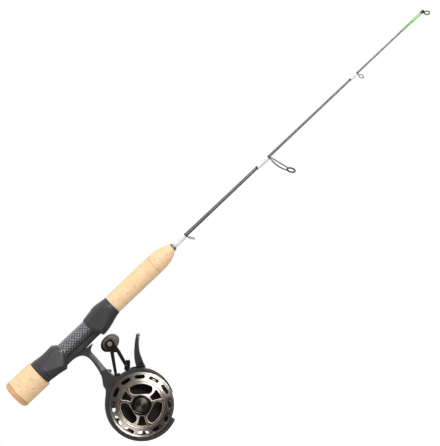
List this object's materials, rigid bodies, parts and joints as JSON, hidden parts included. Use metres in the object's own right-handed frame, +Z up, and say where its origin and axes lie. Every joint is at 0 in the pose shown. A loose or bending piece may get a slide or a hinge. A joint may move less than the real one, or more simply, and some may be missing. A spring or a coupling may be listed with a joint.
{
  "type": "ice fishing rod",
  "caption": "Short ice fishing rod with cork grips, wire guides and an inline reel hung below the seat on a stem, with a trigger and a line roller.",
  "frame": {"origin": "on the rod's axis at the middle of the rear grip, where a hand or a rod holder takes it", "axes": "+X along the rod towards its tip, +Z up with the reel hanging below, Y across the rod along the spool's axis with the handle on +Y"},
  "size_m": [0.6105, 0.074, 0.1551],
  "materials": {
    "cork": "natural composite cork, sanded",
    "dark_cork": "burned cork butt ring, sanded",
    "hood_coat": "satin charcoal coating",
    "carbon_weave": "clear-coated woven carbon",
    "blank_graphite": "gloss graphite",
    "thread_silver": "silver-white thread under epoxy",
    "thread_black": "black thread under epoxy",
    "guide_wire": "smoked steel wire",
    "guide_wire_light": "bright steel wire",
    "guide_ring": "polished hard ring",
    "tip_green": "fluorescent green enamel",
    "black_metal": "black coating",
    "frame_coat": "satin charcoal coating",
    "gunmetal": "polished gunmetal anodising",
    "arm_coat": "black anodising",
    "roller_metal": "grey anodised aluminium",
    "steel": "bright steel",
    "cap_metal": "spun bronze anodising",
    "knob_rubber": "soft-touch rubber",
    "brass": "machined brass",
    "drag_fibre": "woven carbon fibre",
    "pale_plastic": "acetal",
    "arbor_foam": "rigid foam"
  },
  "bodies": {
    "root": {"rear_grip": "cork", "butt_ring": "dark_cork", "collar_ring": "hood_coat", "rear_hood": "hood_coat", "seat_barrel": "carbon_weave", "thread_sleeve": "hood_coat", "seat_arbors": "arbor_foam", "rod_blank": "blank_graphite", "front_wrap": "thread_silver", "large_wrap": "thread_silver", "small_wrap": "thread_silver", "wrap_trims": "thread_black", "hook_keeper": "guide_wire", "large_guide_frame": "guide_wire", "large_guide_ring": "guide_ring", "small_guide_frame": "guide_wire_light", "small_guide_ring": "guide_wire_light", "tip_sleeve": "tip_green", "tip_wrap": "tip_green", "tip_top_frame": "black_metal", "tip_top_ring": "guide_ring", "reel_frame": "frame_coat", "side_cover": "frame_coat", "cover_screws": "steel", "arm_bracket": "arm_coat", "guide_arm": "arm_coat", "arm_screws": "black_metal", "line_keeper": "roller_metal", "roller_axle": "steel", "trigger_bracket": "arm_coat", "trigger_pin": "arm_coat", "trigger_spring": "steel", "spool_shaft": "steel", "shaft_bearing": "steel", "roller_clutch": "steel"},
    "hood": {"front_hood": "hood_coat", "thrust_washer": "pale_plastic"},
    "foregrip": {"foregrip_cork": "cork", "foregrip_nose": "cork", "foregrip_nut": "brass", "winding_check": "black_metal"},
    "spool": {"spool": "gunmetal", "spool_face": "gunmetal", "hub_ring": "arm_coat", "spool_bearings": "steel"},
    "cap": {"spool_cap": "cap_metal"},
    "yoke": {"clutch_yoke": "steel"},
    "pinion": {"pinion_gear": "brass"},
    "trigger": {"trigger": "arm_coat"},
    "handle": {"handle_shaft": "steel", "drive_gear": "brass", "drag_washers": "drag_fibre", "handle_arm": "arm_coat", "handle_nut": "steel", "knob_spindles": "steel"},
    "star": {"drag_star": "arm_coat"},
    "knob_a": {"handle_knob_a": "knob_rubber"},
    "knob_b": {"handle_knob_b": "knob_rubber"},
    "roller": {"guide_roller": "roller_metal", "roller_bush": "pale_plastic"}
  },
  "joints": [
    {"name": "hood_slide", "type": "slide", "parent": "root", "child": "hood", "axis": [1, 0, 0], "range_m": [0, 0.01]},
    {"name": "foregrip_turn", "type": "hinge", "parent": "hood", "child": "foregrip", "pos_m": [0.15, 0, 0], "axis": [1, 0, 0], "range_deg": [0, 1201]},
    {"name": "spool_spin", "type": "hinge", "parent": "root", "child": "spool", "pos_m": [0.0758, 0, -0.0998], "axis": [0, 1, 0], "continuous": true},
    {"name": "spool_cap_turn", "type": "hinge", "parent": "root", "child": "cap", "pos_m": [0.0758, -0.0136, -0.0998], "axis": [0, -1, 0], "range_deg": [-90, 180]},
    {"name": "clutch_shift", "type": "slide", "parent": "root", "child": "yoke", "axis": [0, 1, 0], "range_m": [0, 0.002]},
    {"name": "pinion_spin", "type": "hinge", "parent": "yoke", "child": "pinion", "pos_m": [0.0758, 0.0175, -0.0998], "axis": [0, 1, 0], "continuous": true},
    {"name": "trigger_pull", "type": "hinge", "parent": "root", "child": "trigger", "pos_m": [0.1052, 0, -0.0671], "axis": [0, -1, 0], "range_deg": [0, 14.1], "stiffness_Nm_per_rad": 0.12, "springref_deg": -6.88},
    {"name": "handle_turn", "type": "hinge", "parent": "root", "child": "handle", "pos_m": [0.07223, 0.0395, -0.07911], "axis": [0, 1, 0], "continuous": true},
    {"name": "drag_star_turn", "type": "hinge", "parent": "handle", "child": "star", "pos_m": [0.07223, 0.0349, -0.07911], "axis": [0, 1, 0], "range_deg": [-180, 180]},
    {"name": "knob_a_spin", "type": "hinge", "parent": "handle", "child": "knob_a", "pos_m": [0.06698, 0.05, -0.04876], "axis": [0, 1, 0], "continuous": true},
    {"name": "knob_b_spin", "type": "hinge", "parent": "handle", "child": "knob_b", "pos_m": [0.07747, 0.05, -0.10946], "axis": [0, 1, 0], "continuous": true},
    {"name": "roller_spin", "type": "hinge", "parent": "root", "child": "roller", "pos_m": [0.0957, 0, -0.029], "axis": [0, 1, 0], "continuous": true}
  ],
  "couplings": [
    {"joint": "foregrip_turn", "follows": "hood_slide", "rad_per_m": 2094.4},
    {"joint": "spool_spin", "follows": "handle_turn", "ratio": -2.5},
    {"joint": "pinion_spin", "follows": "handle_turn", "ratio": -2.5},
    {"joint": "trigger_pull", "follows": "clutch_shift", "rad_per_m": 122.17}
  ]
}
